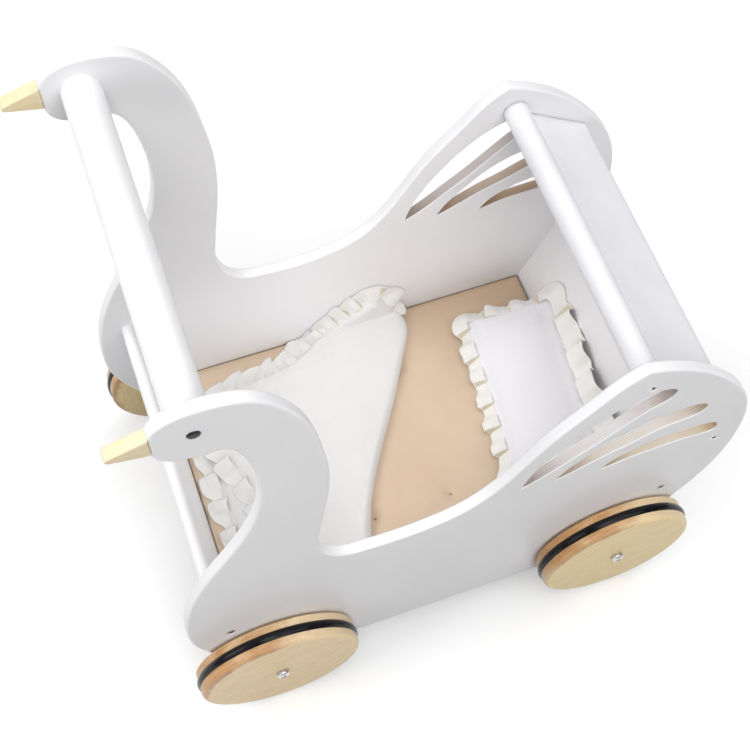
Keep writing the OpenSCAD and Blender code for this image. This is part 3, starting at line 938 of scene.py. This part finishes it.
def pillow():
    nu, nv = 38, 80

    def point(i, j, rim):
        u, v = -1 + 2 * i / nu, -1 + 2 * j / nv
        x, y = seam_point(u, v)
        h = 12.5 * (max(1 - abs(u) ** 2.2, 0.0) ** 0.8) * (max(1 - v**6, 0.0) ** 0.65)
        h *= 1 + 0.04 * noise.noise(vec(u * 1.6, v * 2.6, 1.3))
        wob = 0.5 * noise.noise(vec(x * 0.25, y * 0.25, 0.0))
        return PIL_C + PIL_ROT @ vec(x, y, wob if rim else h), PIL_C + PIL_ROT @ vec(x, y, -h * 0.85)

    ob, rims = cushion("pillow_cushion", nu, nv, point, PILLOW)
    ob.vertex_groups.new(name="seam").add(rims, 1.0, "REPLACE")
    puff(ob, pressure=2.6, cap=0.004, frames=20, shrink=0.004, stiff=12.0, pins="seam")
    seam = set(rims)

    def smooth(bm):
        bm.verts.ensure_lookup_table()
        inner = [v for v in bm.verts if v.index not in seam]
        for _ in range(10):
            bmesh.ops.smooth_vert(bm, verts=inner, factor=0.5, use_axis_x=True, use_axis_y=True,
                                  use_axis_z=True)

    edit_mesh(ob.data, smooth)
    # short gathers that run in from the seam, and a fine crinkle all over
    for v in ob.data.vertices:
        q = PIL_ROT.transposed() @ (v.co / MM - PIL_C)
        dx, dy = PIL_W / 2 - abs(q.x), PIL_L / 2 - abs(q.y)
        along, k = (q.y, max(dx, 0.0)) if dx < dy else (q.x, max(dy, 0.0))
        gather = math.sin(along * 1.15 + 2.0 * noise.noise(vec(q.x * 0.05, q.y * 0.05, 3.0)))
        crinkle = math.sin(q.y * 1.9 + 3.0 * noise.noise(vec(q.x * 0.03, q.y * 0.06, 7.0)))
        d = (0.45 * gather * math.exp(-k / 11.0) + 0.10 * crinkle) * min(k / 2.0, 1.0)
        v.co += PIL_ROT @ vec(0, 0, MM * d if q.z > 0 else -MM * d)
    for v in ob.data.vertices:
        v.co = clear_pillow(v.co / MM) * MM
    rounded(ob)
    place(ob, "pillow_body", "muslin", "pillow")


def resample(path, step, closed=False):
    """The path as points that are one step apart."""
    pts = path + [path[0]] if closed else path
    out = [pts[0].copy()]
    carry = 0.0
    for a, b in zip(pts, pts[1:]):
        size = (b - a).length
        t = step - carry
        while t <= size:
            out.append(a.lerp(b, t / size))
            t += step
        carry = (carry + size) % step
    if closed and (out[-1] - out[0]).length < step * 0.5:
        out.pop()
    return out


def heading(pts, i, closed):
    """The way the path runs at point i."""
    n = len(pts)
    ahead_pt = pts[(i + 1) % n] if closed or i < n - 1 else pts[i]
    behind_pt = pts[i - 1] if closed or i > 0 else pts[i]
    return (ahead_pt - behind_pt).normalized()


def ruffle(name, path, out_dirs, ups, width, seed, fit, body, closed=False, amp=4.0, fold=20.0, lap=1.2,
           flat_top=0.7, open_edge=0.5, root=0.45, notch=0.13, rest="mattress_pad", share=None, taper=0.0,
           loose=None, skew=0.3, crease_shade=(0.42, 0.4)):
    """A pleated strip sewn along path (mm). out_dirs and ups give, for each point, the way the strip leaves
    and its up side. lap is how far each pleat leans over the next, 0 for plain waves and over 1 for
    overlapping ones. share and loose scale the width and the pleats at each point; over the length taper the
    last end closes. The deep side of each pleat gets the darker crease material, painted shade for the
    shadow in the folds, less of it near the seam."""
    rnd = random.Random(seed)
    n = len(path)
    share, loose = share or [1.0] * n, loose or [1.0] * n
    cols = 14
    step = (path[1] - path[0]).length
    # the pleats' pitch, height, lean and reach wander: one draw of each for every grid steps, blended between
    grid = 14
    spans = ((0.78, 1.34), (0.6, 1.3), (-0.7, 0.7), (0.86, 1.12))
    wob, lift, lean, reach = ([rnd.uniform(lo, hi) for _ in range(n // grid + 3)] for lo, hi in spans)
    if closed:
        for w in (wob, lift, lean, reach):
            w[n // grid] = w[n // grid + 1] = w[0]

    def along(tab, i):
        k = i / grid
        a, b = tab[int(k)], tab[int(k) + 1]
        f = k - int(k)
        f = f * f * (3 - 2 * f)
        return a + (b - a) * f

    phase, ph = [], 0.0
    for i in range(n):
        ph += 2 * math.pi / fold * step * along(wob, i) / loose[i]
        phase.append(ph)
    if closed:
        turns = max(round(ph / (2 * math.pi)), 1)
        phase = [v * turns * 2 * math.pi / ph for v in phase]
    soft_top = (1 - flat_top) ** 2 + 0.02
    verts, faces, idx = [], [], []
    for i in range(n):
        p = path[i]
        tan = heading(path, i, closed)
        o, up = out_dirs[i].normalized(), ups[i].normalized()
        w = width * along(reach, i) * share[i]
        if taper:
            w *= min(max((n - 1 - i) * step / taper, 0.06), 1.0)
        hgt = amp * along(lift, i) * loose[i]
        ends = 1.0 if closed else min(i / 12, (n - 1 - i) / 12, 1.0)
        size = fold * loose[i] / along(wob, i) / (2 * math.pi)
        for j in range(cols + 1):
            t = j / cols
            f = phase[i] + along(lean, i) * t
            grow = (root + (1 - root) * t**0.75) * ends
            sf = math.sin(f)
            a = hgt * grow * sf / math.sqrt(sf * sf + soft_top) * math.sqrt(1 + soft_top)
            a += 0.35 * hgt * open_edge * t * t * math.sin(2.7 * phase[i] + seed)
            b = lap * size * min(0.35 + 0.65 * t**0.6, 1.0) * ends * sf
            cf = math.cos(f - skew)
            c = notch * w * grow * cf / math.sqrt(cf * cf + 0.25) - 0.05 * w * t
            crown = 0.25 * amp * math.sin(math.pi * min(t * 1.1, 1.0))
            verts.append(fit(p + o * (w * t + c) + up * (a + crown) + tan * b))
    row = cols + 1
    last = n if closed else n - 1
    for i in range(last):
        k = (i + 1) % n
        for j in range(cols):
            faces.append((i * row + j, k * row + j, k * row + j + 1, i * row + j + 1))
            t = (j + 0.5) / cols
            f = phase[i] + along(lean, i) * t
            # painted shade: the deep side of each pleat gets the darker crease material
            idx.append(1 if math.cos(f) < -crease_shade[0] - crease_shade[1] * (1 - t) else 0)
    ob = obj_from(name, [v * MM for v in verts], faces, [RUFFLE, PAINTED_CREASE_SHADE], idx)
    soften = ob.modifiers.new("soften", "SMOOTH")
    soften.factor = 0.5
    soften.iterations = 1
    thicken(ob, 0.7)
    place(ob, body, "muslin")

    # the rolled hem along the free edge
    rim = [verts[i * row + cols] for i in range(n)]
    for _ in range(2):
        rim = [(rim[i - 1] + rim[i] * 2 + rim[(i + 1) % n]) / 4 if closed or 0 < i < n - 1 else rim[i]
               for i in range(n)]
    hv, hf = [], []
    seg = 6
    for i in range(n):
        tan = heading(rim, i, closed)
        side = rim[i] - verts[i * row + cols - 2]
        side = (side - tan * side.dot(tan)).normalized()
        nor = tan.cross(side)
        for k in range(seg):
            a = math.pi * 2 * k / seg
            hv.append(rim[i] - side * 0.5 + (side * math.cos(a) * 0.95 + nor * math.sin(a) * 0.62))
    for i in range(last):
        i2 = (i + 1) % n
        for k in range(seg):
            k2 = (k + 1) % seg
            hf.append((i * seg + k, i * seg + k2, i2 * seg + k2, i2 * seg + k))
    if not closed:
        hf.append(tuple(range(seg)))
        hf.append(tuple((n - 1) * seg + k for k in range(seg)))
    hem = obj_from(name + "_hem", [v * MM for v in hv], hf, [RUFFLE])
    place(hem, body, "muslin")


def pillow_ruffle():
    # once round the seam: each side's first corner, its way in u and v, and its length
    steps = 200
    sides = (((1.0, -1.0), (0.0, 2.0), PIL_L), ((1.0, 1.0), (-2.0, 0.0), PIL_W),
             ((-1.0, 1.0), (0.0, -2.0), PIL_L), ((-1.0, -1.0), (2.0, 0.0), PIL_W))
    raw = []
    for k in range(steps):
        s, side = k / steps * 2 * (PIL_W + PIL_L), 0
        while s >= sides[side][2]:
            s -= sides[side][2]
            side += 1
        (u, v), (du, dv), size = sides[side]
        raw.append(vec(*seam_point(u + du * s / size, v + dv * s / size), 0.0))
    raw = [sum((raw[(i + k) % steps] for k in range(-2, 3)), vec(0, 0, 0)) / 5 for i in range(steps)]
    local = resample(raw, 0.8, closed=True)
    path, outs, ups, share, loose = [], [], [], [], []
    for i, p in enumerate(local):
        tan = (local[(i + 4) % len(local)] - local[i - 4]).normalized()
        o = vec(tan.y, -tan.x, 0.0)
        if o.dot(p) < 0:
            o = -o
        # tail side goes up the wall, the others lie down on the mattress
        climb = max(o.x, 0.0) ** 2
        low = -0.58 * (1 - climb) + 0.95 * climb
        share.append(0.78 + 0.42 * climb)
        loose.append(1.0 + 0.35 * climb)
        path.append(PIL_C + PIL_ROT @ (p - o * 2.4 + vec(0, 0, 1.1)))
        outs.append(PIL_ROT @ vec(o.x, o.y, low))
        ups.append(PIL_ROT @ vec(-o.x * low, -o.y * low, 1.0))

    ruffle("pillow_ruffle", path, outs, ups, 20.0, 5, clear_pillow, "pillow_body", closed=True, amp=3.3,
           fold=14.5, lap=1.35, flat_top=0.5, open_edge=0.9, notch=0.035, root=0.3, share=share, loose=loose,
           skew=0.9, crease_shade=(0.78, 0.16))


# the blanket's edges in flat coordinates, as (q, x) rows: x along the pram, q across it and up the far panel
LEFT = [(-121, -173), (70, -173), (80, -170), (88, -152), (92, -132), (96, -92), (101, -76), (112, -57),
        (128, -36), (143, -14), (156, 4), (160, 12)]
RIGHT = [(-121, -71), (-87, -61), (-55, -50), (-20, -31), (37, 5.5), (79, 30), (100, 41), (112, 43),
         (128, 40), (143, 33), (156, 21), (160, 16)]
# the ruffled end of the upper half, because the blanket is folded in two
UPPER = [(-121, -126), (-60, -134), (-20, -143), (10, -153), (38, -163), (62, -166), (84, -158)]
Q_LOW, Q_HIGH = LEFT[0][0], LEFT[-1][0]
WALL_Y, CURVE, BASE_Z = 128.4, 12.0, 107.3  # the panel's face, the bend up to it, and the height to lie at


def on_blanket(x, q, h):
    """Maps flat blanket coordinates and a height over its underside to millimetres in the part's frame."""
    q0 = WALL_Y - CURVE
    if q <= q0:
        return vec(x, q, BASE_Z + h)
    a = (q - q0) / CURVE
    if a < math.pi / 2:
        r = CURVE - h
        return vec(x, q0 + r * math.sin(a), BASE_Z + CURVE - r * math.cos(a))
    return vec(x, WALL_Y - h, BASE_Z + CURVE + (q - q0 - CURVE * math.pi / 2))


def blanket_height(x, q, d):
    edge = min(d / 7.0, 1.0)
    h = 8.2 * math.sqrt(max(1 - (1 - edge) ** 2, 0.0))
    if q < 84:
        step = min(max((x - lerp_table(UPPER, q) + 2.0) / 7.0, 0.0), 1.0)
        h -= 3.4 * (1 - step * step * (3 - 2 * step))
    f = 0.9 * noise.noise(vec(x * 0.021, q * 0.027, 4.0)) + 0.45 * noise.noise(vec(x * 0.055, q * 0.06, 1.0))
    f += 0.28 * noise.noise(vec(x * 0.03 + q * 0.05, q * 0.16 - x * 0.05, 2.0))
    return max(h + f * min(d / 14.0, 1.0), 0.15)


def blanket():
    nq, nu = 112, 64

    def point(i, j, rim):
        q = Q_LOW + (Q_HIGH - Q_LOW) * i / nq
        xl, xr = lerp_table(LEFT, q), lerp_table(RIGHT, q)
        x = xl + (xr - xl) * j / nu
        d = min((x - xl) * 0.8, (xr - x) * 0.86, q - Q_LOW, (Q_HIGH - q) * 1.4)
        h = 1.6 if rim else max(blanket_height(x, q, d), 2.0)
        return on_blanket(x, q, h), on_blanket(x, q, 0.4)

    ob, _ = cushion("blanket_quilt", nq, nu, point, MUSLIN)
    puff(ob, pressure=0.9, cap=0.0014, frames=14, shrink=-0.012, stiff=15.0)
    for v in ob.data.vertices:
        c = v.co / MM
        v.co = vec(c.x, max(min(c.y, 129.0), -128.5), max(c.z, mattress_top(c.x, c.y) - 0.2)) * MM
    rounded(ob)
    place(ob, "blanket_body", "muslin", "blanket")


def blanket_ruffles():
    far_seam = [vec(-172, 70, 0)] + [vec(x, q, 0) for q, x in LEFT if q >= 80]
    far_seam += [vec(x, q, 0) for q, x in reversed(RIGHT) if q >= 104]
    foot_seam = [vec(-173, q, 0) for q in range(-118, 75, 6)]
    upper_seam = [vec(lerp_table(UPPER, q), q, 0) for q in range(-116, 80, 6)]
    soft = dict(fold=19.0, lap=1.45, notch=0.08, amp=3.4, taper=40.0, skew=1.0)
    wide = dict(fold=26.0, lap=1.35, notch=0.24, amp=4.4, skew=0.7)
    inside = vec(-40, 10, 0)
    for nm, seam, seed, width, lift, style in (
            ("blanket_far_ruffle", far_seam, 11, 23.5, 3.4, soft),
            ("blanket_foot_ruffle", foot_seam, 23, 16.5, 3.0, wide),
            ("blanket_upper_ruffle", upper_seam, 31, 17.0, 8.6, dict(wide, fold=27.0))):
        pts = resample(seam, 3.0)
        pts = [(pts[max(i - 1, 0)] + pts[i] + pts[min(i + 1, len(pts) - 1)]) / 3 for i in range(len(pts))]
        pts = resample(pts, 0.8)
        path, outs, ups = [], [], []
        for i, p in enumerate(pts):
            tan = (pts[min(i + 5, len(pts) - 1)] - pts[max(i - 5, 0)]).normalized()
            o = vec(tan.y, -tan.x, 0)
            if o.dot(p - inside) < 0:
                o = -o
            base = on_blanket(p.x, p.y, lift)
            ahead_of = on_blanket(p.x + o.x * 0.5, p.y + o.y * 0.5, lift - 0.2)
            path.append(on_blanket(p.x - o.x * 2.0, p.y - o.y * 2.0, lift))
            outs.append((ahead_of - base).normalized())
            ups.append(on_blanket(p.x, p.y, lift + 1.0) - base)
        on_quilt = "upper" in nm

        def fit(q, low=BASE_Z + 5.4 if on_quilt else 0.0):
            z = max(q.z, mattress_top(q.x, q.y) + 0.2, low)
            return vec(max(q.x, -193.0), max(min(q.y, 128.9), -128.5), z)

        ruffle(nm, path, outs, ups, width, seed, fit, "blanket_body", flat_top=0.75,
               rest="blanket_quilt" if on_quilt else "mattress_pad", **style)


pillow()
pillow_ruffle()
blanket()
blanket_ruffles()


# ---------------------------------------------------------------- floor and light
def floor():
    me = bpy.data.meshes.new("studio_floor")
    me.from_pydata([(-8, -8, 0), (8, -8, 0), (8, 8, 0), (-8, 8, 0)], [], [(0, 1, 2, 3)])
    p = Mat("studio_white", 0.9, Specular_IOR_Level=0.1, Emission_Color=(1, 1, 1, 1), Emission_Strength=0.12)
    p.colour(p.ramp(p.noise(3.0, 2.0), [(0.3, (0.93, 0.93, 0.935)), (0.7, (0.95, 0.95, 0.95))]))
    me.materials.append(p.m)
    ob = bpy.data.objects.new("studio_floor", me)
    scene.collection.objects.link(ob)
    ob.visible_diffuse = False


def softbox(name, loc, size, power):
    """A round light that looks at the middle of the pram."""
    d = bpy.data.lights.new(name, "AREA")
    d.shape = "DISK"
    d.size = size
    d.energy = power
    ob = bpy.data.objects.new(name, d)
    ob.location = loc
    ob.rotation_euler = (vec(0, 0, 0.15) - Vector(loc)).to_track_quat("-Z", "Y").to_euler()
    scene.collection.objects.link(ob)


floor()
world = bpy.data.worlds.new("studio")
world.use_nodes = True
background = world.node_tree.nodes["Background"].inputs
background["Color"].default_value = (1.0, 1.0, 1.0, 1.0)
background["Strength"].default_value = 0.125
scene.world = world
softbox("top_softbox", (0.2, -0.1, 3.0), 2.2, 23.0)
softbox("left_back_softbox", (-1.7, 1.1, 2.2), 1.6, 21.5)
softbox("left_low_softbox", (-2.2, 0.0, 1.5), 1.6, 20.0)
softbox("left_front_softbox", (-2.1, -1.5, 1.3), 1.6, 7.0)
softbox("front_softbox", (0.1, -2.5, 1.7), 1.6, 23.8)
softbox("camera_side_softbox", (-0.55, -1.3, 2.9), 1.2, 14.0)
softbox("right_front_softbox", (1.4, -1.6, 2.2), 1.6, 15.2)
softbox("right_back_softbox", (1.8, 0.8, 2.0), 1.6, 15.4)
